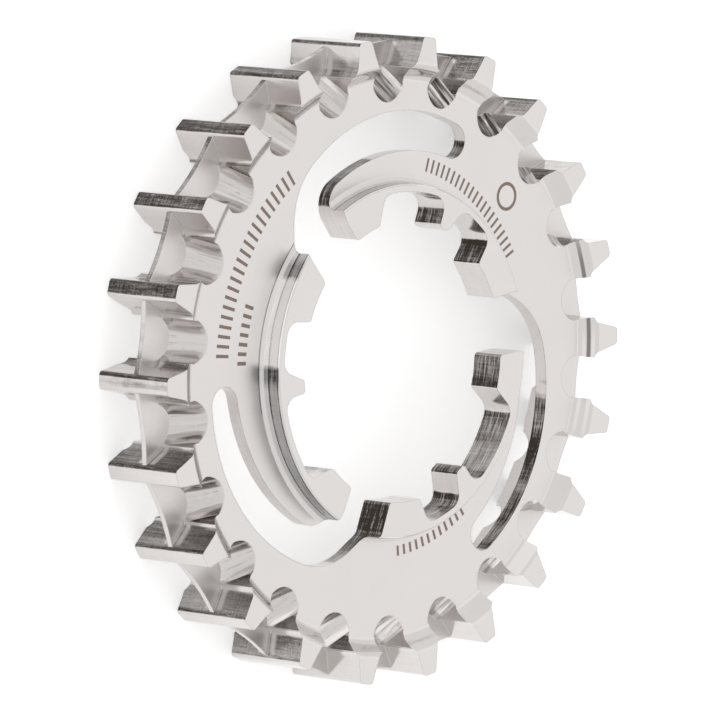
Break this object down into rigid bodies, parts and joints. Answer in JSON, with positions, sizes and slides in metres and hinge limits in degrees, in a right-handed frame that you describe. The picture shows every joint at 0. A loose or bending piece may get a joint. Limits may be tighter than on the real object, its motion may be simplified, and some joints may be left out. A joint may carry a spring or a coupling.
{
  "type": "belt drive sprocket",
  "caption": "Rear belt drive sprocket for a bicycle: toothed ring with a centre fin and slanted mud ports, a recessed plate with spiral slots, and a splined hub ring with an open bore.",
  "frame": {"origin": "on the bore axis, at the plane of the tooth backs", "axes": "+Z along the bore axis, from the tooth backs to the raised hub ring; +X through the middle of one tooth"},
  "size_m": [0.0752, 0.0748, 0.0119],
  "materials": {
    "steel": "bright machined stainless steel, satin faces and mirror-like tooth flanks"
  },
  "bodies": {
    "root": {"sprocket": "steel"}
  },
  "joints": []
}
